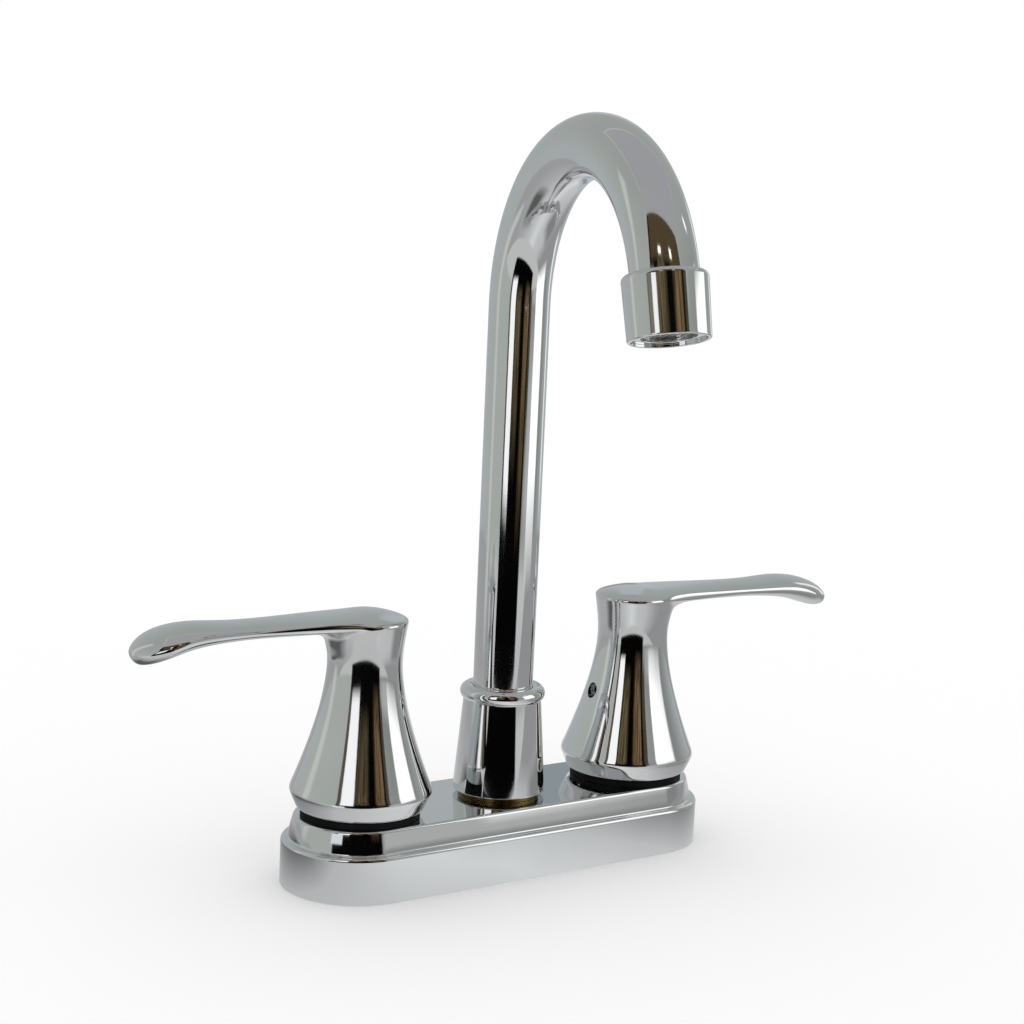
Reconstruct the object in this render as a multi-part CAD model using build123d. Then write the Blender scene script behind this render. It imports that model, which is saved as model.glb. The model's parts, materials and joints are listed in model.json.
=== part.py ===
# Two-handle basin mixer tap on a 4 inch base, with a swivelling gooseneck spout.
# Millimetres. +Z up, the user stands at -Y, and z = 0 is the underside of the base on the worktop.
# Hot is at -X, cold at +X, and the origin is under the spout's swivel axis.
from build123d import *
import math
import os

# Base plate
valve_spacing = 101.6      # 4 inch centres between the two handles
base_overhang = 24.2       # how far the base runs past each handle's axis
base_width = 46.0
rim_height = 14.5          # top of the lower band
step_inset = 2.15          # the foot of the upper step stands this far inside the lower band
step_draft = 12.5          # degrees that the step's wall leans in
base_height = 21.6
plate_wall = 2.4
rim_fillet = 1.3
step_cove = 0.7
top_fillet = 1.1
plate_hole_clearance = 0.3
gasket_thickness = 3.0
gasket_side_clearance = 0.3
gasket_hole_clearance = 0.6

# Inlet bodies, one under each handle
shank_radius = 10.45       # half inch pipe thread, over the crests
shank_bore_radius = 6.5
shank_length = 52.0
supply_thread_length = 20.0
thread_pitch = 1.814       # 14 threads to the inch
thread_groove_width = 0.4
thread_groove_depth = 0.6
relief_width = 2.0         # plain groove between the mounting thread and the supply thread
relief_depth = 1.2
flange_radius = 15.5
flange_thickness = 3.0
barrel_radius = 11.5
barrel_wall = 2.45
barrel_above_nut = 0.6
seat_floor_height = 1.5    # the seal's seat over the flange

# Mounting hardware under the worktop
worktop_thickness = 20.0   # what the mounting nuts are shown clamping
washer_radius = 17.0
washer_thickness = 1.6
washer_bore_clearance = 0.25
mounting_nut_flats = 32.0
mounting_nut_height = 8.0
nut_chamfer = 0.9          # share of a hexagon's corner that its chamfer takes
thread_clearance = 0.05

# Seat ring and lock nut on each barrel
seat_ring_radius = 18.4
seat_ring_thickness = 2.2
seat_ring_fillet = 0.5
seat_ring_bore_clearance = 0.3
lock_nut_flats = 27.0
lock_nut_height = 4.0

# Ceramic cartridge
cartridge_clearance = 0.05
cartridge_wall = 1.0
cartridge_hex_flats = 20.0
cartridge_hex_height = 4.0
cartridge_neck_radius = 6.5
cartridge_neck_height = 7.6
window_width = 8.0
window_sill = 1.1          # the windows start this far over the fixed disc
seat_seal_thickness = 2.0
seat_seal_bore_radius = 6.3
disc_thickness = 2.4
disc_side_clearance = 0.3
fixed_disc_clearance = 0.05
disc_port_angle = 72.0
disc_port_inner_radius = 2.4
disc_port_outer_radius = 6.2
face_gap = 0.05            # between flat faces that slide on each other
key_width = 3.0
key_depth = 1.0
o_ring_thickness = 1.6
o_ring_radial = 1.1
seal_gap = 0.02
cartridge_o_ring_depth = 2.5   # its middle under the cartridge's hexagon
stem_o_ring_height = 24.0

# Stem
stem_radius = 4.0
stem_clearance = 0.05
stem_foot_height = 3.0
spline_teeth = 20
spline_tip_radius = 3.9
spline_root_radius = 3.5
spline_length = 16.0
clip_radius = 5.6
clip_thickness = 0.9
clip_groove_depth = 0.8
clip_mouth_width = 4.0
clip_play = 0.2

# Handles
handle_gap = 0.3           # between the seat ring and the bell
bell_mouth_radius = 19.7
bell_mouth_fillet = 0.5
bell_radius = 22.0
bell_crease_height = 29.5
bell_crease_fillet = 2.0
bell_lower_rise = 14.0     # how far the curve keeps its slope over the crease
bell_lower_lean = 5.6
neck_upper_drop = 12.0     # how far the neck stays straight under its waist
neck_radius = 11.45
neck_depth = 15.3          # from the top of the hub down to where the neck is narrowest
bell_wall = 1.9
bell_cavity_top = 44.0
hub_radius = 12.7
hub_dome_rise = 4.5
hub_edge_fillet = 1.0
hub_top_height = 85.3
dome_fullness = 0.55       # pull of the dome's curve, 0.55 gives nearly a quarter ellipse
lever_length = 75.2        # from the handle's axis to the tip
lever_depth = 3.1          # from the top of the hub down to the middle of the lever
hub_half_width = 11.4
waist_half_width = 7.7
paddle_half_width = 9.7
hub_half_thickness = 2.85
waist_half_thickness = 2.6
paddle_half_thickness = 4.2
waist_distance = 40.0
paddle_to_tip = 7.2
droop_length = 21.2        # from the start of the droop to the tip
droop_radius = 40.0        # the paddle bends down along this radius
tip_rounding = 10.0
tip_flat = 0.05
lever_sections = 12
lever_root_fillet = 7.0
socket_clearance = 0.08
socket_end_gap = 1.0
hot_lever_sweep = -1.3     # degrees towards the user, as photographed
cold_lever_sweep = 5.5

# Set screw that holds each handle on its stem
screw_height = 50.8
screw_radius = 2.45
screw_length = 6.0
screw_hex_flats = 2.5
screw_hex_depth = 2.5

# Spout post, ring nut and collar
post_radius = 12.0
post_bore_radius = 7.05
post_height = 36.0
post_foot_radius = 14.5
post_floor_height = 9.0
ring_nut_radius = 13.0
ring_nut_height = 1.8
collar_bottom_radius = 14.7
collar_top_radius = 12.2
bead_height = 54.6         # middle of the bead over the worktop
bead_section_radius = 2.5
bead_outer_radius = 13.5

# Crossover tubes
crossover_depth = 6.8      # from the top of the base down to the middle of the tubes
crossover_radius = 4.0
crossover_wall = 0.8
crossover_socket_depth = 1.4

# Spout
spout_tube_radius = 9.5
spout_tube_wall = 1.0
spout_straight_top = 176.7
spout_bend_radius = 48.5
spout_bend_angle = 164.3
spout_yaw = -10.5          # degrees, as photographed: the outlet stands towards the hot side
spout_tail_length = 6.5
swivel_clearance = 0.08
spigot_clearance = 0.05
spigot_length = 17.0
spigot_wall = 2.5
spigot_flange_thickness = 2.5
spigot_flange_clearance = 0.4
spigot_nipple_length = 7.0
spigot_end_gap = 0.1
spigot_o_ring_heights = {"lower": 24.0, "upper": 30.0}
glide_washer_thickness = 1.2

# Outlet and aerator, measured along the outlet's own axis from the end of the bend
outlet_start = -2.0
outlet_length = 18.0
outlet_top_radius = 11.9
outlet_bottom_radius = 11.4
outlet_shoulder_fillet = 1.6
outlet_rim_fillet = 0.5
outlet_wall = 1.1
outlet_lip = 0.8
braze_gap = 0.05
aerator_washer_thickness = 1.5
aerator_washer_bore_radius = 7.0
aerator_recess = 0.8
housing_wall = 1.0
housing_ledge = 0.7
housing_lip = 1.2
insert_thickness = 2.4
insert_hole_radius = 0.6
insert_ring_radius = 2.7
screen_thickness = 0.6
screen_pitch = 1.7
screen_hole = 1.1

# Heights and radii worked out from the sizes above
valve_x = valve_spacing / 2
base_length = valve_spacing + 2 * base_overhang
flange_top = gasket_thickness + flange_thickness
barrel_bore_radius = barrel_radius - barrel_wall
ring_top = base_height + seat_ring_thickness
lock_nut_top = ring_top + lock_nut_height
barrel_top = lock_nut_top + barrel_above_nut
seat_floor = flange_top + seat_floor_height
seal_top = seat_floor + seat_seal_thickness
fixed_disc_top = seal_top + disc_thickness
moving_disc_bottom = fixed_disc_top + face_gap
moving_disc_top = moving_disc_bottom + disc_thickness
foot_bottom = moving_disc_top + face_gap
foot_top = foot_bottom + stem_foot_height
chamber_top = foot_top + clip_play
cartridge_radius = barrel_bore_radius - cartridge_clearance
chamber_radius = cartridge_radius - cartridge_wall
moving_disc_radius = chamber_radius - disc_side_clearance
cartridge_o_ring_height = barrel_top - cartridge_o_ring_depth
cartridge_hex_top = barrel_top + cartridge_hex_height
cartridge_top = cartridge_hex_top + cartridge_neck_height
stem_bore_radius = stem_radius + stem_clearance
clip_bottom = cartridge_top + clip_play
clip_top = clip_bottom + clip_thickness
spline_bottom = bell_cavity_top
spline_top = spline_bottom + spline_length
bell_bottom = ring_top + handle_gap
neck_height = hub_top_height - neck_depth
hub_edge_height = hub_top_height - hub_dome_rise
lever_height = hub_top_height - lever_depth
paddle_distance = lever_length - paddle_to_tip
droop_start = lever_length - droop_length
mounting_nut_top = -worktop_thickness - washer_thickness
supply_thread_top = supply_thread_length - shank_length
crossover_height = base_height - crossover_depth
crossover_bore_radius = crossover_radius - crossover_wall
ring_nut_top = base_height + ring_nut_height
spigot_radius = post_bore_radius - spigot_clearance
spigot_bore_radius = spigot_radius - spigot_wall
spigot_shoulder = post_height + spigot_end_gap
spigot_flange_top = spigot_shoulder + spigot_flange_thickness
collar_bore_radius = post_radius + thread_clearance
spigot_flange_radius = collar_bore_radius - spigot_flange_clearance
glide_washer_bottom = spigot_flange_top + face_gap
glide_washer_top = glide_washer_bottom + glide_washer_thickness
collar_shoulder = glide_washer_top + face_gap
swivel_bore_radius = spout_tube_radius + swivel_clearance
tube_bore_radius = spout_tube_radius - spout_tube_wall
outlet_end = outlet_start + outlet_length
outlet_bore_radius = outlet_bottom_radius - outlet_wall
aerator_top = spout_tail_length + outlet_lip
housing_top = aerator_top + aerator_washer_thickness
housing_end = outlet_end - aerator_recess
housing_radius = outlet_bore_radius - thread_clearance
insert_radius = housing_radius - housing_wall
screen_radius = insert_radius - housing_ledge
screen_bottom = housing_end - housing_lip
screen_top = screen_bottom - screen_thickness
insert_end = housing_top + insert_thickness

FROM_BOTTOM = (Align.CENTER, Align.CENTER, Align.MIN)


def disc(radius, bottom, top):
    return Pos(0, 0, bottom) * Cylinder(radius, top - bottom, align=FROM_BOTTOM)


def ring(outer, inner, bottom, top):
    return disc(outer, bottom, top) - disc(inner, bottom, top)


def hexagon(flats, bottom, top):
    return Pos(0, 0, bottom) * extrude(RegularPolygon(flats / math.sqrt(3), 6), top - bottom)


def hexagon_nut(flats, bottom, top, bore_radius):
    # the chamfers of a round blank take the corners off the hexagon
    corner = flats / math.sqrt(3)
    blank = disc(corner, bottom, top)
    blank = chamfer(blank.edges().filter_by(GeomType.CIRCLE), (corner - flats / 2) * nut_chamfer)
    return (hexagon(flats, bottom, top) & blank) - disc(bore_radius, bottom, top)


def stadium(length, width, bottom, top):
    return Pos(0, 0, bottom) * extrude(SlotOverall(length, width), top - bottom)


def edges_at_height(piece, height):
    return piece.edges().filter_by_position(Axis.Z, height - 0.01, height + 0.01)


def opposite_wedges(inner, outer, bottom, top, middle_angle):
    # two sectors of a ring, facing each other
    reach = 2 * outer
    half = math.radians(disc_port_angle / 2)
    corner = (reach * math.cos(half), reach * math.sin(half))
    wedge = extrude(make_face(Polyline((0, 0), corner, (corner[0], -corner[1]), close=True)), top - bottom)
    wedge = Pos(0, 0, bottom) * wedge
    both = Rot(0, 0, middle_angle) * wedge + Rot(0, 0, middle_angle + 180) * wedge
    return both & ring(outer, inner, bottom, top)


def o_ring(inner, outer, middle):
    half = o_ring_thickness / 2
    return ring(outer - seal_gap, inner + seal_gap, middle - half, middle + half)


def o_ring_groove(inner, outer, middle):
    half = o_ring_thickness / 2 + face_gap
    return ring(outer + 1, inner, middle - half, middle + half)


def thread_grooves(radius, bottom, top):
    count = int((top - bottom) / thread_pitch)
    heights = [bottom + (turn + 0.5) * thread_pitch for turn in range(count)]
    root = radius - thread_groove_depth
    return [ring(radius + 1, root, height, height + thread_groove_width) for height in heights]


def at_valve(side, piece):
    return Pos(side * valve_x, 0, 0) * piece


def at_handle(side, piece):
    # a handle's own +X runs along its lever, away from the spout
    turn = -cold_lever_sweep if side > 0 else 180 + hot_lever_sweep
    return Pos(side * valve_x, 0, 0) * Rot(0, 0, turn) * piece


def on_spout(piece):
    return Rot(0, 0, spout_yaw) * piece


# Base and worktop hardware

def is_on_stadium(edge, inset):
    # edges of the base's outline, drawn in all round by half the inset
    middle = edge @ 0.5
    end_x = (base_length - base_width) / 2
    reach = math.hypot(max(abs(middle.X) - end_x, 0), middle.Y)
    return abs(reach - (base_width - inset) / 2) < 0.01


def make_deck_plate():
    inset = 2 * step_inset
    lower = stadium(base_length, base_width, 0, rim_height)
    lower = fillet(edges_at_height(lower, rim_height), rim_fillet)
    step = SlotOverall(base_length - inset, base_width - inset)
    upper = Pos(0, 0, rim_height) * extrude(step, base_height - rim_height, taper=step_draft)
    upper = fillet(edges_at_height(upper, base_height), top_fillet)
    plate = lower + upper
    step_edges = [edge for edge in edges_at_height(plate, rim_height) if is_on_stadium(edge, inset)]
    plate = fillet(step_edges, step_cove)
    wall = 2 * plate_wall
    plate -= stadium(base_length - wall, base_width - wall, 0, rim_height - plate_wall)
    plate -= stadium(base_length - inset - wall, base_width - inset - wall, 0, base_height - plate_wall)
    for side in (-1, 1):
        plate -= at_valve(side, disc(barrel_radius + plate_hole_clearance, 0, base_height))
    return plate - disc(post_radius + plate_hole_clearance, 0, base_height)


def make_deck_gasket():
    inset = 2 * (plate_wall + gasket_side_clearance)
    gasket = stadium(base_length - inset, base_width - inset, 0, gasket_thickness)
    for side in (-1, 1):
        gasket -= at_valve(side, disc(shank_radius + gasket_hole_clearance, 0, gasket_thickness))
    return gasket


def make_inlet_body(side):
    body = disc(shank_radius, -shank_length, gasket_thickness)
    body += disc(flange_radius, gasket_thickness, flange_top)
    body += disc(barrel_radius, flange_top, barrel_top)
    body -= disc(shank_bore_radius, -shank_length, seat_floor)
    body -= disc(barrel_bore_radius, seat_floor, barrel_top)
    relief_top = supply_thread_top + relief_width
    body -= ring(shank_radius + 1, shank_radius - relief_depth, supply_thread_top, relief_top)
    body -= thread_grooves(shank_radius, -shank_length, supply_thread_top)
    body -= thread_grooves(shank_radius, relief_top, 0)
    body = at_valve(side, body)
    return body - crossover_hole(side, barrel_radius - crossover_socket_depth)


def crossover_hole(side, socket_floor):
    # the tube's socket in a barrel, and the smaller port behind it
    port = along_x(crossover_bore_radius + thread_clearance, 0, valve_x)
    socket = along_x(crossover_radius + seal_gap, 0, valve_x - socket_floor)
    return mirror_to(side, port + socket)


def along_x(radius, start, end):
    bar = Rot(0, 90, 0) * Cylinder(radius, end - start, align=FROM_BOTTOM)
    return Pos(start, 0, crossover_height) * bar


def mirror_to(side, piece):
    return piece if side > 0 else Rot(0, 0, 180) * piece


def make_crossover_tubes():
    start = post_radius - crossover_socket_depth
    end = valve_x - barrel_radius + crossover_socket_depth
    tube = along_x(crossover_radius, start, end) - along_x(crossover_bore_radius, start, end)
    return Compound(children=[mirror_to(-1, tube), mirror_to(1, tube)])


def make_mounting_washers():
    washer = ring(washer_radius, shank_radius + washer_bore_clearance, mounting_nut_top, -worktop_thickness)
    return Compound(children=[at_valve(-1, washer), at_valve(1, washer)])


def make_mounting_nuts():
    low = mounting_nut_top - mounting_nut_height
    nut = hexagon_nut(mounting_nut_flats, low, mounting_nut_top, shank_radius + thread_clearance)
    return Compound(children=[at_valve(-1, nut), at_valve(1, nut)])


# Valves

def make_seat_ring(side):
    rubber = disc(seat_ring_radius, base_height, ring_top)
    rubber = fillet(edges_at_height(rubber, ring_top), seat_ring_fillet)
    return at_valve(side, rubber - disc(barrel_radius + seat_ring_bore_clearance, base_height, ring_top))


def make_lock_nut(side):
    nut = hexagon_nut(lock_nut_flats, ring_top, lock_nut_top, barrel_radius + thread_clearance)
    return at_valve(side, nut)


def make_cartridge_body(side):
    body = disc(cartridge_radius, seal_top, barrel_top)
    body += hexagon(cartridge_hex_flats, barrel_top, cartridge_hex_top)
    body += disc(cartridge_neck_radius, cartridge_hex_top, cartridge_top)
    body -= disc(chamber_radius, seal_top, chamber_top)
    body -= disc(stem_bore_radius, chamber_top, cartridge_top)
    body -= o_ring_groove(cartridge_radius - o_ring_radial, cartridge_radius, cartridge_o_ring_height)
    sill = fixed_disc_top + window_sill
    body -= Pos(0, 0, sill) * Box(3 * cartridge_radius, window_width, chamber_top - sill, align=FROM_BOTTOM)
    return at_valve(side, body)


def make_cartridge_o_ring(side):
    seal = o_ring(cartridge_radius - o_ring_radial, barrel_bore_radius, cartridge_o_ring_height)
    return at_valve(side, seal)


def make_seat_seal(side):
    return at_valve(side, ring(cartridge_radius, seat_seal_bore_radius, seat_floor, seal_top))


def make_fixed_disc(side):
    plate = disc(chamber_radius - fixed_disc_clearance, seal_top, fixed_disc_top)
    ports = opposite_wedges(disc_port_inner_radius, disc_port_outer_radius, seal_top, fixed_disc_top, 0)
    return at_valve(side, plate - ports)


def make_moving_disc(side):
    low, high = moving_disc_bottom, moving_disc_top
    plate = disc(moving_disc_radius, low, high)
    plate -= opposite_wedges(disc_port_inner_radius, 2 * moving_disc_radius, low, high, 90)
    slot = Box(3 * moving_disc_radius, key_width, key_depth, align=(Align.CENTER, Align.CENTER, Align.MAX))
    return at_handle(side, plate - Pos(0, 0, high) * slot)


def make_stem(side):
    stem = disc(moving_disc_radius, foot_bottom, foot_top)
    stem -= opposite_wedges(stem_radius, 2 * moving_disc_radius, foot_bottom, foot_top, 90)
    key_size = (2 * moving_disc_radius, key_width - 2 * face_gap, key_depth)
    key = Box(*key_size, align=FROM_BOTTOM) & disc(moving_disc_radius, 0, key_depth)
    stem += Pos(0, 0, foot_bottom - key_depth) * key
    stem += disc(stem_radius, foot_top, spline_bottom)
    stem -= o_ring_groove(stem_radius - o_ring_radial, stem_radius, stem_o_ring_height)
    stem -= ring(stem_radius + 1, stem_radius - clip_groove_depth, clip_bottom, clip_top)
    stem += spline(0, spline_bottom, spline_top)
    return at_handle(side, stem)


def spline(clearance, bottom, top):
    corners = []
    for tooth in range(spline_teeth):
        for share, radius in ((0.0, spline_tip_radius), (0.5, spline_root_radius)):
            angle = 2 * math.pi * (tooth + share) / spline_teeth
            reach = radius + clearance
            corners.append((reach * math.cos(angle), reach * math.sin(angle)))
    return Pos(0, 0, bottom) * extrude(make_face(Polyline(*corners, close=True)), top - bottom)


def make_stem_clip(side):
    inner = stem_radius - clip_groove_depth + seal_gap
    clip = ring(clip_radius, inner, clip_bottom + seal_gap, clip_top - seal_gap)
    mouth = Pos(clip_radius, 0, clip_bottom) * Box(2 * clip_radius, clip_mouth_width, 2 * clip_thickness)
    return at_handle(side, clip - mouth)


def make_stem_o_ring(side):
    return at_handle(side, o_ring(stem_radius - o_ring_radial, stem_bore_radius, stem_o_ring_height))


# Handles

def bell_curve():
    crease = (bell_radius, bell_crease_height)
    lower_pull = (bell_radius - bell_lower_lean, bell_crease_height + bell_lower_rise)
    upper_pull = (neck_radius, neck_height - neck_upper_drop)
    return Bezier(crease, lower_pull, upper_pull, (neck_radius, neck_height))


def bell_radius_at(height):
    curve = bell_curve()
    low, high = 0.0, 1.0
    for _ in range(30):
        middle = (low + high) / 2
        if (curve @ middle).Y < height:
            low = middle
        else:
            high = middle
    return (curve @ low).X


def make_bell():
    mouth = (bell_mouth_radius, bell_bottom)
    crease = (bell_radius, bell_crease_height)
    neck = (neck_radius, neck_height)
    edge = (hub_radius, hub_edge_height)
    flare = TangentArc(neck, edge, tangent=(0, 1))
    edge_pull = (hub_radius, hub_edge_height + dome_fullness * (hub_top_height - hub_edge_height))
    top_pull = (dome_fullness * hub_radius, hub_top_height)
    dome = Bezier(edge, edge_pull, top_pull, (0, hub_top_height))
    closing = Polyline((0, hub_top_height), (0, bell_bottom), mouth, crease)
    outline = make_face(Curve() + [bell_curve(), flare, dome, closing])
    bell = revolve(Plane.XZ * outline, Axis.Z)
    bell = fillet(edges_at_height(bell, hub_edge_height), hub_edge_fillet)
    bell = fillet(edges_at_height(bell, bell_crease_height), bell_crease_fillet)
    return fillet(edges_at_height(bell, bell_bottom), bell_mouth_fillet)


def make_bell_cavity():
    mouth = (bell_mouth_radius - bell_wall, bell_bottom)
    widest = (bell_radius - bell_wall, bell_crease_height)
    top = (bell_radius_at(bell_cavity_top) - bell_wall, bell_cavity_top)
    outline = make_face(Polyline((0, bell_bottom), mouth, widest, top, (0, bell_cavity_top), close=True))
    return revolve(Plane.XZ * outline, Axis.Z)


def blend(share):
    share = min(max(share, 0.0), 1.0)
    return share * share * (3 - 2 * share)


def hub_waist_paddle(distance, hub, waist, paddle):
    # a size along the lever: from the hub's to the waist's, then to the paddle's
    near = hub + (waist - hub) * blend(distance / waist_distance)
    return near + (paddle - waist) * blend((distance - waist_distance) / (paddle_distance - waist_distance))


def lever_section(distance):
    to_tip = min((lever_length - distance) / tip_rounding, 1.0)
    rounding = math.sqrt(1 - (1 - to_tip) ** 2)
    width = rounding * hub_waist_paddle(distance, hub_half_width, waist_half_width, paddle_half_width)
    thickness = math.sqrt(rounding) * hub_waist_paddle(
        distance, hub_half_thickness, waist_half_thickness, paddle_half_thickness)
    bend = math.asin(max(distance - droop_start, 0) / droop_radius)
    height = lever_height - droop_radius * (1 - math.cos(bend))
    up = (math.sin(bend), 0, math.cos(bend))
    along = (math.cos(bend), 0, -math.sin(bend))
    return Plane(origin=(distance, 0, height), x_dir=up, z_dir=along) * Ellipse(thickness, width)


def make_lever():
    tip = lever_length - tip_flat
    steps = [math.sin(math.pi / 2 * step / lever_sections) for step in range(lever_sections + 1)]
    return loft([lever_section(tip * step) for step in steps])


def is_lever_root(edge):
    # the seam under the lever, where it leaves the hub
    box = edge.bounding_box()
    beside_hub = box.min.X > hub_radius / 2 and box.max.X < hub_radius
    return beside_hub and abs(box.min.Z - hub_edge_height) < 2 and box.max.Z < hub_top_height - 2


def make_handle(side):
    # the bell starts behind the lever, so its seam line stays clear of the fillet
    handle = Rot(0, 0, 180) * make_bell() + make_lever()
    handle = fillet([edge for edge in handle.edges() if is_lever_root(edge)], lever_root_fillet)
    handle -= make_bell_cavity()
    handle -= spline(socket_clearance, bell_cavity_top, spline_top + socket_end_gap)
    handle -= screw_hole()
    return at_handle(side, handle)


def towards_spout(radius, start, end):
    bar = Rot(0, -90, 0) * Cylinder(radius, end - start, align=FROM_BOTTOM)
    return Pos(-start, 0, screw_height) * bar


def screw_hole():
    return towards_spout(screw_radius + thread_clearance, 0, bell_radius)


def make_set_screw(side):
    start = spline_tip_radius + face_gap
    screw = towards_spout(screw_radius, start, start + screw_length)
    recess = Rot(0, -90, 0) * hexagon(screw_hex_flats, 0, screw_hex_depth)
    return at_handle(side, screw - Pos(screw_hex_depth - start - screw_length, 0, screw_height) * recess)


# Spout mount

def make_spout_post():
    post = disc(post_foot_radius, gasket_thickness, flange_top)
    post += disc(post_radius, flange_top, post_height)
    post -= disc(post_bore_radius, post_floor_height, post_height)
    for side in (-1, 1):
        post -= mirror_to(side, along_x(crossover_bore_radius + thread_clearance, 0, post_radius))
        socket = along_x(crossover_radius + seal_gap, post_radius - crossover_socket_depth, 2 * post_radius)
        post -= mirror_to(side, socket)
    return post


def make_spout_ring_nut():
    return ring(ring_nut_radius, post_radius + thread_clearance, base_height, ring_nut_top)


def make_spout_collar():
    cone_height = bead_height - ring_nut_top
    cone = Cone(collar_bottom_radius, collar_top_radius, cone_height, align=FROM_BOTTOM)
    collar = Pos(0, 0, ring_nut_top) * cone
    collar += Pos(0, 0, bead_height) * Torus(bead_outer_radius - bead_section_radius, bead_section_radius)
    collar -= disc(collar_bore_radius, ring_nut_top, collar_shoulder)
    return collar - disc(swivel_bore_radius, collar_shoulder, bead_height + 2 * bead_section_radius)


def make_spout_glide_washer():
    washer = ring(spigot_flange_radius, swivel_bore_radius, glide_washer_bottom, glide_washer_top)
    return on_spout(washer)


# Spout

def gooseneck(radius, start_height, tail):
    straight = disc(radius, start_height, spout_straight_top)
    section = Pos(0, 0, spout_straight_top) * Circle(radius)
    bend_axis = Axis((0, -spout_bend_radius, spout_straight_top), (1, 0, 0))
    bend = revolve(section, bend_axis, spout_bend_angle)
    return straight + bend + outlet_plane().location * disc(radius, 0, tail)


def outlet_plane():
    # its +Z is the way the water leaves
    angle = math.radians(spout_bend_angle)
    y = -spout_bend_radius * (1 - math.cos(angle))
    z = spout_straight_top + spout_bend_radius * math.sin(angle)
    return Plane(origin=(0, y, z), x_dir=(1, 0, 0), z_dir=(0, -math.sin(angle), math.cos(angle)))


def at_outlet(piece):
    return on_spout(outlet_plane().location * piece)


def make_spout_tube():
    tube = gooseneck(spout_tube_radius, spigot_flange_top, spout_tail_length)
    return on_spout(tube - gooseneck(tube_bore_radius, spigot_flange_top, spout_tail_length))


def make_spout_spigot():
    low = spigot_shoulder - spigot_length
    nipple_top = spigot_flange_top + spigot_nipple_length
    spigot = disc(spigot_radius, low, spigot_shoulder)
    spigot += disc(spigot_flange_radius, spigot_shoulder, spigot_flange_top)
    spigot += disc(tube_bore_radius - braze_gap, spigot_flange_top, nipple_top)
    for height in spigot_o_ring_heights.values():
        spigot -= o_ring_groove(spigot_radius - o_ring_radial, spigot_radius, height)
    return on_spout(spigot - disc(spigot_bore_radius, low, nipple_top))


def make_spout_o_ring(level):
    seal = o_ring(spigot_radius - o_ring_radial, post_bore_radius, spigot_o_ring_heights[level])
    return on_spout(seal)


def make_spout_outlet():
    shell = Cone(outlet_top_radius, outlet_bottom_radius, outlet_length, align=FROM_BOTTOM)
    shell = Pos(0, 0, outlet_start) * shell
    shell = fillet(edges_at_height(shell, outlet_start), outlet_shoulder_fillet)
    shell = fillet(edges_at_height(shell, outlet_end), outlet_rim_fillet)
    shell -= disc(spout_tube_radius + braze_gap, outlet_start, spout_tail_length)
    shell -= disc(tube_bore_radius, spout_tail_length, aerator_top)
    return at_outlet(shell - disc(outlet_bore_radius, aerator_top, outlet_end))


def make_aerator_washer():
    return at_outlet(ring(housing_radius, aerator_washer_bore_radius, aerator_top, housing_top))


def make_aerator_housing():
    housing = disc(housing_radius, housing_top, housing_end)
    housing -= disc(insert_radius, housing_top, insert_end)
    housing -= disc(screen_radius, insert_end, screen_bottom)
    return at_outlet(housing - disc(screen_radius - housing_ledge, screen_bottom, housing_end))


def make_aerator_insert():
    plate = disc(insert_radius - seal_gap, housing_top, insert_end)
    hole = disc(insert_hole_radius, housing_top, insert_end)
    plate -= hole
    for circle in (1, 2):
        for spot in PolarLocations(circle * insert_ring_radius, 6 * circle):
            plate -= spot * hole
    return at_outlet(plate)


def make_aerator_screen():
    plate = disc(screen_radius - seal_gap, screen_top, screen_bottom)
    reach = int(screen_radius / screen_pitch)
    hole = Box(screen_hole, screen_hole, 4 * screen_thickness)
    holes = []
    for column in range(-reach, reach + 1):
        for row in range(-reach, reach + 1):
            x, y = column * screen_pitch, row * screen_pitch
            if math.hypot(x, y) + screen_hole < screen_radius:
                holes.append(Pos(x, y, screen_top) * hole)
    return at_outlet(plate - holes)


def make_all():
    nodes = {
        "deck_plate": make_deck_plate(),
        "deck_gasket": make_deck_gasket(),
        "crossover_tubes": make_crossover_tubes(),
        "mounting_washers": make_mounting_washers(),
        "mounting_nuts": make_mounting_nuts(),
        "spout_post": make_spout_post(),
        "spout_ring_nut": make_spout_ring_nut(),
        "spout_collar": make_spout_collar(),
        "spout_glide_washer": make_spout_glide_washer(),
        "spout_tube": make_spout_tube(),
        "spout_spigot": make_spout_spigot(),
        "spout_lower_o_ring": make_spout_o_ring("lower"),
        "spout_upper_o_ring": make_spout_o_ring("upper"),
        "spout_outlet": make_spout_outlet(),
        "aerator_washer": make_aerator_washer(),
        "aerator_housing": make_aerator_housing(),
        "aerator_insert": make_aerator_insert(),
        "aerator_screen": make_aerator_screen(),
    }
    for name, side in (("hot", -1), ("cold", 1)):
        nodes[name + "_inlet_body"] = make_inlet_body(side)
        nodes[name + "_seat_ring"] = make_seat_ring(side)
        nodes[name + "_lock_nut"] = make_lock_nut(side)
        nodes[name + "_cartridge_body"] = make_cartridge_body(side)
        nodes[name + "_cartridge_o_ring"] = make_cartridge_o_ring(side)
        nodes[name + "_seat_seal"] = make_seat_seal(side)
        nodes[name + "_fixed_disc"] = make_fixed_disc(side)
        nodes[name + "_moving_disc"] = make_moving_disc(side)
        nodes[name + "_stem"] = make_stem(side)
        nodes[name + "_stem_clip"] = make_stem_clip(side)
        nodes[name + "_stem_o_ring"] = make_stem_o_ring(side)
        nodes[name + "_handle"] = make_handle(side)
        nodes[name + "_set_screw"] = make_set_screw(side)
    return nodes


os.makedirs("parts", exist_ok=True)
for node, shape in make_all().items():
    export_step(shape, f"parts/{node}.step")
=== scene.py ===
# Two-handle basin mixer tap: polished chrome body, levers and gooseneck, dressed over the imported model.
# Measures are in millimetres. Round pieces are turned from profiles, the handles smoothed from a cage.
import json
import math

import bmesh
import bpy
from mathutils import Matrix, Vector


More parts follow.
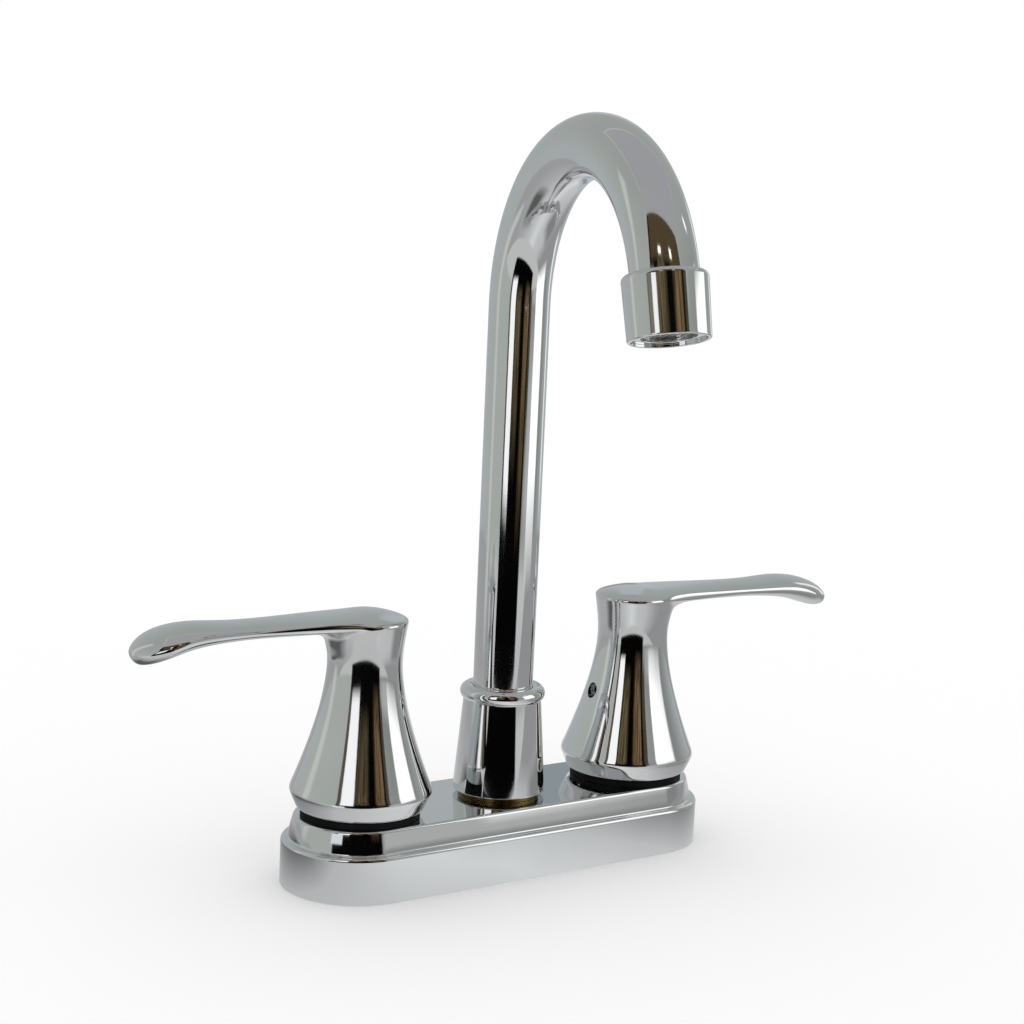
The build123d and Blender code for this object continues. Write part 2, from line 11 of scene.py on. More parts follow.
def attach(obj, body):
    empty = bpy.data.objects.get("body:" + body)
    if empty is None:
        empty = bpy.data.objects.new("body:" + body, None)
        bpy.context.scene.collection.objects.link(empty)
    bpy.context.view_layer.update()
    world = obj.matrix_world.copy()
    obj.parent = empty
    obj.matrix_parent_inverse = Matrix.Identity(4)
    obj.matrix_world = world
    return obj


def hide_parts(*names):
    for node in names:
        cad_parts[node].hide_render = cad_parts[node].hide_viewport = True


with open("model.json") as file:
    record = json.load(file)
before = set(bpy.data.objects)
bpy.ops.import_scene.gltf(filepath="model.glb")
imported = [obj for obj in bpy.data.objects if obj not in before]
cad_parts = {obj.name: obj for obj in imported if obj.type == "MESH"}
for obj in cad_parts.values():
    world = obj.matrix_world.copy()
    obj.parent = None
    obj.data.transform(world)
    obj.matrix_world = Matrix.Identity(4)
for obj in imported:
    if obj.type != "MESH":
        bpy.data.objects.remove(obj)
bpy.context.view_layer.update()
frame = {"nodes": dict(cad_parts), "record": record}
nodes = frame["nodes"]
mm = 0.001
weld = 1e-7         # vertices this close become one, in metres
holeSides = 64
valveX = 50.8
spoutYaw = math.radians(-10.5)
coldTurn = math.radians(-5.5)
hotTurn = math.radians(178.7)
print("frame loaded:", len(nodes), "nodes")


# modelling helpers


def clearSelection():
    if bpy.context.object and bpy.context.object.mode != "OBJECT":
        bpy.ops.object.mode_set(mode="OBJECT")
    bpy.ops.object.select_all(action="DESELECT")


def pickOnly(piece):
    clearSelection()
    piece.select_set(True)
    bpy.context.view_layer.objects.active = piece


def softened(corners, steps=5):
    # (radius, height) corners; a third number rounds that corner with an arc
    points = []
    for index, corner in enumerate(corners):
        here = Vector(corner[:2])
        if len(corner) < 3:
            points.append(here)
            continue
        before = (Vector(corners[index - 1][:2]) - here).normalized()
        after = (Vector(corners[(index + 1) % len(corners)][:2]) - here).normalized()
        half = math.acos(max(-1, min(1, before.dot(after)))) / 2
        centre = here + (before + after).normalized() * (corner[2] / math.sin(half))
        start = here + before * (corner[2] / math.tan(half)) - centre
        end = here + after * (corner[2] / math.tan(half)) - centre
        first = math.atan2(start.y, start.x)
        sweep = (math.atan2(end.y, end.x) - first + math.pi) % (2 * math.pi) - math.pi
        for step in range(steps + 1):
            angle = first + sweep * step / steps
            points.append(centre + corner[2] * Vector((math.cos(angle), math.sin(angle))))
    return points


def arc(centre, radius, start, end, steps):
    # points of an arc in a profile, angles in degrees from the outward direction
    points = []
    for step in range(steps + 1):
        angle = math.radians(start + (end - start) * step / steps)
        points.append((centre[0] + radius * math.cos(angle), centre[1] + radius * math.sin(angle)))
    return points


def drawProfile(points, closed):
    # a vertex is extruded from point to point, in the plane of X and Z
    clearSelection()
    bpy.ops.mesh.primitive_plane_add(size=mm, enter_editmode=True)
    bpy.ops.mesh.merge(type="CENTER")
    bpy.ops.transform.translate(value=(points[0][0] * mm, 0, points[0][1] * mm))
    route = list(points) + ([points[0]] if closed else [])
    for here, there in zip(route, route[1:]):
        step = ((there[0] - here[0]) * mm, 0, (there[1] - here[1]) * mm)
        bpy.ops.mesh.extrude_region_move(TRANSFORM_OT_translate={"value": step})
    bpy.ops.mesh.select_all(action="SELECT")
    bpy.ops.mesh.remove_doubles(threshold=weld)


def turned(name, points, around=96, closed=True):
    # a profile of (radius, height) turned round the Z axis
    drawProfile(points, closed)
    bpy.ops.mesh.spin(steps=around, angle=2 * math.pi, center=(0, 0, 0), axis=(0, 0, 1))
    bpy.ops.mesh.select_all(action="SELECT")
    bpy.ops.mesh.remove_doubles(threshold=weld)
    bpy.ops.mesh.normals_make_consistent(inside=False)
    bpy.ops.object.mode_set(mode="OBJECT")
    piece = bpy.context.object
    piece.name = piece.data.name = name
    return piece


def polished(piece, angle=32):
    # smooth surfaces with crisp edges: flat faces keep flat reflections
    pickOnly(piece)
    bpy.ops.object.shade_smooth_by_angle(angle=math.radians(angle), keep_sharp_edges=False)
    modifier = piece.modifiers.new("even normals", "WEIGHTED_NORMAL")
    modifier.keep_sharp = True
    bpy.ops.object.modifier_apply(modifier=modifier.name)
    return piece


def placed(piece, turn=0.0, spot=(0, 0, 0)):
    # the place goes into the mesh, so the object stays at the origin
    pickOnly(piece)
    piece.rotation_euler = (0, 0, turn)
    piece.location = Vector(spot) * mm
    bpy.ops.object.transform_apply(location=True, rotation=True, scale=True)
    return piece


def copied(piece, name):
    twin = piece.copy()
    twin.data = piece.data.copy()
    bpy.context.collection.objects.link(twin)
    twin.name = twin.data.name = name
    return twin


def drilled(piece, radius, start, end):
    # a round hole from start to end, in millimetres
    clearSelection()
    way = (Vector(end) - Vector(start)) * mm
    bpy.ops.mesh.primitive_cylinder_add(vertices=holeSides, radius=radius * mm, depth=way.length)
    drill = bpy.context.object
    drill.rotation_mode = "QUATERNION"
    drill.rotation_quaternion = way.to_track_quat("Z", "Y")
    drill.location = Vector(start) * mm + way / 2
    cut = piece.modifiers.new("hole", "BOOLEAN")
    cut.operation = "DIFFERENCE"
    cut.solver = "EXACT"
    cut.object = drill
    pickOnly(piece)
    bpy.ops.object.modifier_apply(modifier=cut.name)
    bpy.data.objects.remove(drill)


dressed = []    # (piece, material slot) of every piece made here


def fitted(piece, body, slot, *replaced):
    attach(piece, body)
    if replaced:
        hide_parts(*replaced)
    dressed.append((piece, slot))


# base

basePlate = {
    "endX": 52.0, "endRadius": 23.0, "rimHeight": 14.5, "rimRounding": 1.3,
    "stepFoot": 20.85, "stepCove": 0.7, "stepMiddle": (20.33, 17.6), "stepTop": 19.28, "stepBore": 18.45,
    "topHeight": 21.6, "topRounding": 1.1, "wall": 2.4, "footRounding": 0.3, "middle": 0.5, "around": 98,
    "valveHole": 11.8, "spoutHole": 12.3, "drillReach": 5.0,
}


def makeBasePlate(size):
    # one end is turned as a round plate, then its halves are pulled apart to the full length
    outer, bore, wall = size["endRadius"], size["stepBore"], size["wall"]
    profile = softened([
        (size["middle"], size["topHeight"]),
        (size["stepTop"], size["topHeight"], size["topRounding"]),
        size["stepMiddle"],
        (size["stepFoot"], size["rimHeight"], size["stepCove"]),
        (outer, size["rimHeight"], size["rimRounding"]),
        (outer, 0, size["footRounding"]),
        (outer - wall, 0),
        (outer - wall, size["rimHeight"] - wall),
        (bore, size["rimHeight"] - wall),
        (bore, size["topHeight"] - wall),
        (size["middle"], size["topHeight"] - wall),
    ], steps=6)
    plate = turned("basePlateChrome", profile, around=size["around"], closed=False)
    bpy.ops.object.mode_set(mode="EDIT")
    for side in (-1, 1):
        bpy.ops.mesh.select_all(action="DESELECT")
        mesh = bmesh.from_edit_mesh(plate.data)
        for vert in mesh.verts:
            vert.select = vert.co.x * side > 0
        mesh.select_flush(True)
        bmesh.update_edit_mesh(plate.data)
        bpy.ops.transform.translate(value=(side * size["endX"] * mm, 0, 0))
    # the gap left open at each level is closed with one face
    nearLevel = 0.01
    for height in (size["topHeight"], size["topHeight"] - wall):
        bpy.ops.mesh.select_all(action="DESELECT")
        mesh = bmesh.from_edit_mesh(plate.data)
        for edge in mesh.edges:
            edge.select = edge.is_boundary and abs(edge.verts[0].co.z / mm - height) < nearLevel
        bmesh.update_edit_mesh(plate.data)
        bpy.ops.mesh.edge_face_add()
    bpy.ops.mesh.select_all(action="SELECT")
    bpy.ops.mesh.normals_make_consistent(inside=False)
    bpy.ops.object.mode_set(mode="OBJECT")
    for x, radius in ((-valveX, "valveHole"), (valveX, "valveHole"), (0, "spoutHole")):
        drilled(plate, size[radius], (x, 0, size["topHeight"] + size["drillReach"]), (x, 0, -size["drillReach"]))
    return polished(plate)


fitted(makeBasePlate(basePlate), "base", "chrome", "deck_plate")
print("base plate done")

seatRing = {"inner": 11.8, "outer": 18.4, "low": 21.6, "high": 23.8, "footRounding": 0.2, "topRounding": 0.5}


def makeRing(name, size):
    profile = softened([
        (size["inner"], size["low"]), (size["outer"], size["low"], size["footRounding"]),
        (size["outer"], size["high"], size["topRounding"]), (size["inner"], size["high"]),
    ])
    return polished(turned(name, profile))


ringPattern = makeRing("seatRing", seatRing)
for name, side in (("hot", -1), ("cold", 1)):
    seat = placed(copied(ringPattern, name + "SeatRingRubber"), 0, (side * valveX, 0, 0))
    fitted(seat, "base", "black_rubber", name + "_seat_ring")
bpy.data.objects.remove(ringPattern)

# collar of the spout

collar = {
    "bore": 12.05, "foot": 14.7, "footHeight": 23.15, "footRounding": 0.35, "joinRadius": 12.365, "joinHeight": 52.52,
    "beadCentre": (11.0, 54.6), "beadRadius": 2.5, "beadStart": -56.3, "beadEnd": 124.6, "beadSteps": 22,
    "neckBore": 9.58, "shoulder": 39.9, "around": 112,
}


def makeCollar(size):
    cone = [(size["foot"], size["footHeight"], size["footRounding"]), (size["joinRadius"], size["joinHeight"])]
    bead = arc(size["beadCentre"], size["beadRadius"], size["beadStart"], size["beadEnd"], size["beadSteps"])
    bore = [(size["neckBore"], size["shoulder"]), (size["bore"], size["shoulder"]),
            (size["bore"], size["footHeight"])]
    return polished(turned("spoutCollarChrome", softened(cone + bead + bore), around=size["around"]))


fitted(makeCollar(collar), "base", "chrome", "spout_collar")
ringNut = {"inner": 12.05, "outer": 12.95, "low": 21.6, "high": 23.14, "footRounding": 0.2, "topRounding": 0.2}
fitted(makeRing("spoutRingNutBrass", ringNut), "base", "brass", "spout_ring_nut")
print("collar and rings done")

# gooseneck

gooseneck = {
    "radius": 9.5, "wall": 1.0, "low": 38.6, "straightTop": 176.7, "bendRadius": 48.5, "bendAngle": 164.3,
    "tail": 6.5, "around": 96, "straightSteps": 6, "bendSteps": 112,
}


def outletFrame(size):
    # where the bend ends, with +Z the way the water leaves
    angle = math.radians(size["bendAngle"])
    spot = Vector((0, -size["bendRadius"] * (1 - math.cos(angle)),
                   size["straightTop"] + size["bendRadius"] * math.sin(angle))) * mm
    return (Matrix.Rotation(spoutYaw, 4, "Z") @ Matrix.Translation(spot)
            @ Matrix.Rotation(angle, 4, "X"))


def makeGooseneck(size):
    clearSelection()
    bpy.ops.mesh.primitive_circle_add(vertices=size["around"], radius=size["radius"] * mm,
                                      location=(0, 0, size["low"] * mm), enter_editmode=True)
    rise = (size["straightTop"] - size["low"]) / size["straightSteps"]
    for _ in range(size["straightSteps"]):
        bpy.ops.mesh.extrude_region_move(TRANSFORM_OT_translate={"value": (0, 0, rise * mm)})
    angle = math.radians(size["bendAngle"])
    bpy.ops.mesh.spin(steps=size["bendSteps"], angle=-angle, axis=(1, 0, 0),
                      center=(0, -size["bendRadius"] * mm, size["straightTop"] * mm))
    tail = Vector((0, -math.sin(angle), math.cos(angle))) * size["tail"] * mm
    bpy.ops.mesh.extrude_region_move(TRANSFORM_OT_translate={"value": tail})
    bpy.ops.mesh.select_all(action="SELECT")
    bpy.ops.mesh.remove_doubles(threshold=weld)
    bpy.ops.mesh.normals_make_consistent(inside=False)
    bpy.ops.object.mode_set(mode="OBJECT")
    tube = bpy.context.object
    tube.name = tube.data.name = "gooseneckChrome"
    bpy.ops.object.transform_apply(location=True, rotation=True, scale=True)
    wall = tube.modifiers.new("wall", "SOLIDIFY")
    wall.thickness = size["wall"] * mm
    wall.offset = -1
    bpy.ops.object.modifier_apply(modifier=wall.name)
    return polished(placed(tube, spoutYaw))


fitted(makeGooseneck(gooseneck), "spout", "chrome", "spout_tube")
print("gooseneck done")


def atOutlet(piece):
    pickOnly(piece)
    piece.matrix_world = outletFrame(gooseneck)
    bpy.ops.object.transform_apply(location=True, rotation=True, scale=True)
    return piece


# heights along the outlet's own axis, from the end of the bend
outletShell = {
    "start": -2.0, "end": 16.0, "topRadius": 11.9, "endRadius": 11.4, "shoulder": 1.6, "rim": 0.5,
    "tubeBore": 9.55, "lipBore": 8.5, "lipLow": 6.5, "lipHigh": 7.3, "bore": 10.3, "boreRounding": 0.25,
    "around": 112,
}


def makeOutletShell(size):
    profile = softened([
        (size["tubeBore"], size["start"]), (size["topRadius"], size["start"], size["shoulder"]),
        (size["endRadius"], size["end"], size["rim"]), (size["bore"], size["end"], size["boreRounding"]),
        (size["bore"], size["lipHigh"]), (size["lipBore"], size["lipHigh"]),
        (size["lipBore"], size["lipLow"]), (size["tubeBore"], size["lipLow"]),
    ], steps=7)
    return polished(turned("outletShellChrome", profile, around=size["around"]))


fitted(atOutlet(makeOutletShell(outletShell)), "spout", "chrome", "spout_outlet")
aerator = {
    "radius": 10.25, "top": 8.8, "end": 15.2, "insertBore": 9.25, "insertEnd": 11.2, "screenBore": 8.6,
    "lipTop": 14.0, "lipBore": 7.6, "rounding": 0.3,
}


def makeAeratorHousing(size):
    profile = softened([
        (size["radius"], size["top"]), (size["radius"], size["end"], size["rounding"]),
        (size["lipBore"], size["end"], size["rounding"]), (size["lipBore"], size["lipTop"]),
        (size["screenBore"], size["lipTop"]), (size["screenBore"], size["insertEnd"]),
        (size["insertBore"], size["insertEnd"]), (size["insertBore"], size["top"]),
    ])
    return polished(turned("aeratorHousingChrome", profile))


fitted(atOutlet(makeAeratorHousing(aerator)), "spout", "chrome", "aerator_housing")
print("outlet done")

# handles

handle = {
    "columns": 24, "hubEdge": (12.7, 80.8), "domePulls": ((12.7, 83.275), (6.985, 85.3)), "top": (0.0, 85.3),
    # rings of the bell's cage over the curve, from the mouth to the neck: (radius, height)
    "bell": (
        (19.3, 24.1), (19.78, 24.24), (20.57, 26.12), (21.86, 29.06), (21.78, 29.47), (21.8, 30.18),
        (20.8, 32.48), (19.52, 35.85), (17.87, 40.33), (16.05, 45.66), (14.34, 51.37), (12.98, 56.79),
        (11.99, 62.32), (11.47, 67.0), (11.45, 71.0),
    ),
    # rings of the hub, and each again for the columns under the lever, from its middle outwards
    "fillet": ((11.86, 75.3), ((11.86, 69.7), (11.86, 72.7), (11.86, 73.3), (11.86, 74.3), (11.86, 74.8))),
    "rimSupport": ((12.74, 81.0), ((12.5, 75.7), (12.55, 76.0), (12.7, 77.3), (12.75, 79.5), (12.78, 80.7))),
    "rimUnder": ((12.88, 81.9), ((14.3, 77.9), (14.1, 78.15), (13.6, 79.0), (13.15, 80.8), (12.92, 81.55))),
    "rimTop": (12.4, 82.75), "rimEdge": 0.9,
    "crown": (9.5, 5.4), "crownLift": 0.06, "crownAbove": 83.0, "crownMiddle": 5.2, "middleLift": 0.04,
    "leverLength": 75.2, "leverHeight": 82.2, "halfWidths": (11.4, 7.7, 9.7), "halfThicknesses": (2.85, 2.6, 4.2),
    "waistAt": 40.0, "paddleAt": 68.0, "droopStart": 54.0, "droopRadius": 40.0, "tipRounding": 10.0,
    # the lever leaves the hub over so many columns each side of +X, and its section has as many steps of this angle
    "leverColumns": 4, "sectionTurn": 20, "sideEdge": 0.174,
    # where the rows of the lever's cage cross its middle line, and how far each bows towards the tip
    "leverRows": (
        (18.6, 6.2), (24.2, 3.8), (30.5, 1.6), (37.5, 0.4), (44.0, 0.0), (50.5, 0.0), (56.0, 0.5), (61.0, 1.7),
        (65.6, 3.9), (69.5, 6.6), (72.7, 8.9), (74.55, 10.0), (75.3, 10.1),
    ),
    "roundEndBow": 9, "tipAt": 75, "tipEdge": 1.15, "tipEdgeFall": 0.4,
    # the mouth turns in over these, and the last closes the hollow
    "hollow": ((18.1, 24.02), (17.75, 24.5), (19.8, 29.5), (14.5, 43.2), (13.8, 44.0)),
    "screwHole": 2.5, "screwHeight": 50.8, "screwStart": -22.0, "screwEnd": -4.2, "smoothing": 3, "creaseAngle": 40,
}


def cubicCurve(start, firstPull, lastPull, end, share):
    rest = 1 - share
    return [rest ** 3 * a + 3 * rest * rest * share * b + 3 * rest * share * share * c + share ** 3 * d
            for a, b, c, d in zip(start, firstPull, lastPull, end)]


def domeHeight(size, radius):
    # the share of the curve that reaches this radius is closed in on by halving
    low, high = 0.0, 1.0
    for _ in range(24):
        middle = (low + high) / 2
        point = cubicCurve(size["hubEdge"], *size["domePulls"], size["top"], middle)
        low, high = (middle, high) if point[0] > radius else (low, middle)
    return point[1]


def eased(share):
    share = min(max(share, 0.0), 1.0)
    return share * share * (3 - 2 * share)


def alongLever(size, distance, sizes):
    near = sizes[0] + (sizes[1] - sizes[0]) * eased(distance / size["waistAt"])
    far = (distance - size["waistAt"]) / (size["paddleAt"] - size["waistAt"])
    return near + (sizes[2] - sizes[1]) * eased(far)


def leverPoint(size, distance, aside, side, edge):
    # a point of the lever's top (side 1) or underside (-1), at this distance and this far from its middle,
    # at least edge above or below the middle height
    toTip = min(max(size["leverLength"] - distance, 0) / size["tipRounding"], 1.0)
    rounding = math.sqrt(1 - (1 - toTip) ** 2)
    width = max(rounding * alongLever(size, distance, size["halfWidths"]), 0.01)
    thickness = math.sqrt(rounding) * alongLever(size, distance, size["halfThicknesses"])
    lift = thickness * math.sqrt(max(1 - (aside / width) ** 2, 0.0))
    lift = side * max(lift, edge)
    bend = math.asin(min(max(distance - size["droopStart"], 0) / size["droopRadius"], 1))
    height = size["leverHeight"] - size["droopRadius"] * (1 - math.cos(bend))
    return Vector((distance + math.sin(bend) * lift, aside, height + math.cos(bend) * lift))


def evenOut(turn):
    # how much wider a ring of points this angle apart is drawn, because smoothing shrinks it
    return 3 / (2 + math.cos(turn))


def columnTurn(size):
    return 2 * math.pi / size["columns"]


def ringPlaces(size, ring, dips=()):
    # where a ring of the cage has its vertices, by column from +X
    half, step = size["columns"] // 2, columnTurn(size)
    places = {}
    for k in range(-half, half):
        radius, height = dips[abs(k)] if abs(k) < len(dips) else ring
        radius *= evenOut(step)
        places[k] = Vector((radius * math.cos(k * step), radius * math.sin(k * step), height))
    return places


def nextRow(piece, last, places):
    # the selected edges or faces are extruded, and each new vertex goes from its last place to its new one
    bpy.ops.mesh.extrude_region_move(TRANSFORM_OT_translate={"value": (0, 0, 0)})
    mesh = bmesh.from_edit_mesh(piece.data)
    for vert in mesh.verts:
        if vert.select:
            key = min(last, key=lambda name: (last[name] * mm - vert.co).length_squared)
            vert.co = places[key] * mm
    bmesh.update_edit_mesh(piece.data)
    return places


def selectWhere(piece, kind, test):
    bpy.ops.mesh.select_all(action="DESELECT")
    mesh = bmesh.from_edit_mesh(piece.data)
    for part in getattr(mesh, kind):
        if test(part):
            part.select = True
    mesh.select_flush_mode()
    bmesh.update_edit_mesh(piece.data)


def drawBell(size):
    clearSelection()
    radius, height = size["bell"][0]
    radius *= evenOut(columnTurn(size))
    bpy.ops.mesh.primitive_circle_add(vertices=size["columns"], radius=radius * mm,
                                      location=(0, 0, height * mm), enter_editmode=True)
    piece = bpy.context.object
    bpy.ops.object.mode_set(mode="OBJECT")
    bpy.ops.object.transform_apply(location=True, rotation=True, scale=True)
    bpy.ops.object.mode_set(mode="EDIT")
    bpy.ops.mesh.select_mode(type="VERT")
    bpy.ops.mesh.select_all(action="SELECT")
    row = ringPlaces(size, size["bell"][0])
    for ring in size["bell"][1:]:
        row = nextRow(piece, row, ringPlaces(size, ring))
    return piece, row


def drawHub(size, piece, row):
    # from the neck to the rim, whose side is the band that the lever leaves, and over the dome
    for part in ("fillet", "rimSupport", "rimUnder"):
        row = nextRow(piece, row, ringPlaces(size, *size[part]))
    underRow = row
    places = ringPlaces(size, size["rimTop"])
    for k in range(-size["leverColumns"], size["leverColumns"] + 1):
        place = places[k]
        aside = place.y / evenOut(columnTurn(size))
        place.z = max(place.z, leverPoint(size, place.x, aside, 1, size["rimEdge"]).z)
    topRow = row = nextRow(piece, row, places)
    for radius in size["crown"]:
        places = ringPlaces(size, (radius, domeHeight(size, radius) + size["crownLift"]))
        for place in places.values():
            if place.x > 0:
                place.z = max(place.z, leverPoint(size, place.x, place.y, 1, 0).z)
        row = nextRow(piece, row, places)
    bpy.ops.mesh.fill_grid(span=size["columns"] // 4, offset=0)
    mesh = bmesh.from_edit_mesh(piece.data)
    for vert in mesh.verts:
        spread = math.hypot(vert.co.x, vert.co.y) / mm
        if vert.co.z > size["crownAbove"] * mm and spread < size["crownMiddle"]:
            height = domeHeight(size, spread) + size["middleLift"]
            if vert.co.x > 0:
                height = max(height, leverPoint(size, vert.co.x / mm, vert.co.y / mm, 1, 0).z)
            vert.co.z = height * mm
    bmesh.update_edit_mesh(piece.data)
    return underRow, topRow


def leverSection(size, distance, bow):
    # places of one row round the lever, by column and side
    places = {}
    for k in range(-size["leverColumns"], size["leverColumns"] + 1):
        spread = math.radians(size["sectionTurn"] * k)
        reach = distance - bow * (1 - math.cos(spread))
        width = alongLever(size, reach if bow > size["roundEndBow"] else distance, size["halfWidths"])
        edge = size["sideEdge"] * alongLever(size, reach, size["halfThicknesses"])
        if distance > size["tipAt"]:
            edge = size["tipEdge"] - size["tipEdgeFall"] * abs(math.sin(spread))
        middle = leverPoint(size, reach, 0, 0, 0)
        for side in (-1, 1):
            place = leverPoint(size, reach, width * math.sin(spread), side, edge)
            places[(k, side)] = middle + (place - middle) * evenOut(math.radians(size["sectionTurn"]))
    return places


def drawLever(size, piece, underRow, topRow):
    # the band under the dome's edge is drawn out into the lever
    half = size["leverColumns"]
    bandPlaces = [place for row in (underRow, topRow) for place in row.values()]
    closeEnough = 0.01

    def isBand(face):
        centre = face.calc_center_median()
        inBand = all(any((vert.co / mm - place).length < closeEnough for place in bandPlaces) for vert in face.verts)
        return inBand and abs(math.atan2(centre.y, centre.x)) < half * columnTurn(size)

    selectWhere(piece, "faces", isBand)
    last = {}
    for k in range(-half, half + 1):
        last[(k, 1)] = topRow[k]
        last[(k, -1)] = underRow[k]
    for distance, bow in size["leverRows"]:
        last = nextRow(piece, last, leverSection(size, distance, bow))


def makeHandle(size):
    # a cage of rings and rows is drawn vertex by vertex, then smoothed
    piece, row = drawBell(size)
    underRow, topRow = drawHub(size, piece, row)
    drawLever(size, piece, underRow, topRow)
    selectWhere(piece, "edges", lambda edge: edge.is_boundary)
    row = ringPlaces(size, size["bell"][0])
    for ring in size["hollow"]:
        row = nextRow(piece, row, ringPlaces(size, ring))
    bpy.ops.mesh.edge_face_add()
    bpy.ops.mesh.select_all(action="SELECT")
    bpy.ops.mesh.normals_make_consistent(inside=False)
    bpy.ops.object.mode_set(mode="OBJECT")
    smooth = piece.modifiers.new("smooth", "SUBSURF")
    smooth.levels = smooth.render_levels = size["smoothing"]
    pickOnly(piece)
    bpy.ops.object.modifier_apply(modifier=smooth.name)
    drilled(piece, size["screwHole"], (size["screwStart"], 0, size["screwHeight"]),
            (size["screwEnd"], 0, size["screwHeight"]))
    return polished(piece, size["creaseAngle"])


leverPattern = makeHandle(handle)
for name, side, turn in (("hot", -1, hotTurn), ("cold", 1, coldTurn)):
    lever = placed(copied(leverPattern, name + "HandleChrome"), turn, (side * valveX, 0, 0))
    fitted(lever, name + "_lever", "chrome", name + "_handle")
bpy.data.objects.remove(leverPattern)
print("handles done")

# materials
# shared effects: each group gives a value, colour or height that changes over the surface


def newGroup(name, inputs, outputs):
    group = bpy.data.node_groups.new(name, "ShaderNodeTree")
    for title, kind, value in inputs:
        socket = group.interface.new_socket(title, in_out="INPUT", socket_type=kind)
        socket.default_value = value
    for title, kind in outputs:
        group.interface.new_socket(title, in_out="OUTPUT", socket_type=kind)
    return group, group.nodes.new("NodeGroupInput"), group.nodes.new("NodeGroupOutput")


def feed(tree, sockets, sources):
    # each socket takes a link from another node's output, or a plain value
    for socket, source in zip(sockets, sources):
        if hasattr(source, "is_output"):
            tree.links.new(source, socket)
        else:
            socket.default_value = source


def mathNode(tree, operation, *sources):
    node = tree.nodes.new("ShaderNodeMath")
    node.operation = operation
    feed(tree, node.inputs, sources)
    return node.outputs[0]


def noiseNode(tree, vector, scale, detail=3.0, rough=0.5):
    node = tree.nodes.new("ShaderNodeTexNoise")
    feed(tree, [node.inputs[title] for title in ("Vector", "Scale", "Detail", "Roughness")],
         (vector, scale, detail, rough))
    return node.outputs["Fac"]


def spreadNode(tree, value, low, high, newLow=0.0, newHigh=1.0):
    node = tree.nodes.new("ShaderNodeMapRange")
    feed(tree, node.inputs, (value, low, high, newLow, newHigh))
    return node.outputs[0]


def mixColour(tree, factor, first, second):
    node = tree.nodes.new("ShaderNodeMix")
    node.data_type = "RGBA"
    # the mix node keeps its colour sockets after those for numbers and vectors
    feed(tree, (node.inputs[0], node.inputs[6], node.inputs[7]), (factor, first, second))
    return node.outputs[2]


def makeSurfaceHaze():
    # cloudy patches and fine specks that make a gloss uneven: wiped films, dust, polishing drag
    group, given, result = newGroup("surfaceHaze", [
        ("Vector", "NodeSocketVector", (0, 0, 0)), ("Patch Scale", "NodeSocketFloat", 40.0),
        ("Speck Scale", "NodeSocketFloat", 900.0), ("Speck Amount", "NodeSocketFloat", 0.3),
        ("Low", "NodeSocketFloat", 0.04), ("High", "NodeSocketFloat", 0.1),
    ], [("Value", "NodeSocketFloat"), ("Patch", "NodeSocketFloat")])
    patch = noiseNode(group, given.outputs["Vector"], given.outputs["Patch Scale"], detail=4.0, rough=0.55)
    speck = noiseNode(group, given.outputs["Vector"], given.outputs["Speck Scale"], detail=2.0, rough=0.6)
    specks = spreadNode(group, speck, 0.52, 0.72)
    specks = mathNode(group, "MULTIPLY", specks, given.outputs["Speck Amount"])
    both = mathNode(group, "ADD", spreadNode(group, patch, 0.35, 0.68), specks)
    value = spreadNode(group, both, 0.0, 1.0, given.outputs["Low"], given.outputs["High"])
    group.links.new(value, result.inputs["Value"])
    group.links.new(patch, result.inputs["Patch"])
    return group


def makeToolMarks():
    # fine rings left by a cutting tool on turned metal, one above the other along Z
    group, given, result = newGroup("toolMarks", [
        ("Vector", "NodeSocketVector", (0, 0, 0)), ("Rings per Metre", "NodeSocketFloat", 2600.0),
        ("Drift", "NodeSocketFloat", 0.6),
    ], [("Height", "NodeSocketFloat")])
    parts = group.nodes.new("ShaderNodeSeparateXYZ")
    group.links.new(given.outputs["Vector"], parts.inputs[0])
    drift = noiseNode(group, given.outputs["Vector"], 260.0)
    turns = mathNode(group, "MULTIPLY", parts.outputs["Z"], given.outputs["Rings per Metre"])
    phase = mathNode(group, "ADD", turns, mathNode(group, "MULTIPLY", drift, given.outputs["Drift"]))
    wave = mathNode(group, "SINE", mathNode(group, "MULTIPLY", phase, 2 * math.pi))
    height = mathNode(group, "MULTIPLY", mathNode(group, "ADD", wave, 1.0), 0.5)
    group.links.new(height, result.inputs["Height"])
    return group


def makeFineGrain():
    # small bumps of a moulded, drawn or fired surface, with larger waves under them
    group, given, result = newGroup("fineGrain", [
        ("Vector", "NodeSocketVector", (0, 0, 0)), ("Grain Scale", "NodeSocketFloat", 1600.0),
        ("Wave Scale", "NodeSocketFloat", 60.0), ("Wave Share", "NodeSocketFloat", 0.4),
    ], [("Height", "NodeSocketFloat")])
    grain = noiseNode(group, given.outputs["Vector"], given.outputs["Grain Scale"], detail=2.0, rough=0.6)
    wave = noiseNode(group, given.outputs["Vector"], given.outputs["Wave Scale"], detail=2.0)
    share = mathNode(group, "MULTIPLY", wave, given.outputs["Wave Share"])
    rest = mathNode(group, "SUBTRACT", 1.0, given.outputs["Wave Share"])
    height = mathNode(group, "ADD", mathNode(group, "MULTIPLY", grain, rest), share)
    group.links.new(height, result.inputs["Height"])
    return group


surfaceHaze = makeSurfaceHaze()
toolMarks = makeToolMarks()
fineGrain = makeFineGrain()


def placeGroup(tree, group, vector, **values):
    node = tree.nodes.new("ShaderNodeGroup")
    node.node_tree = group
    tree.links.new(vector, node.inputs["Vector"])
    for title, value in values.items():
        node.inputs[title.replace("_", " ")].default_value = value
    return node


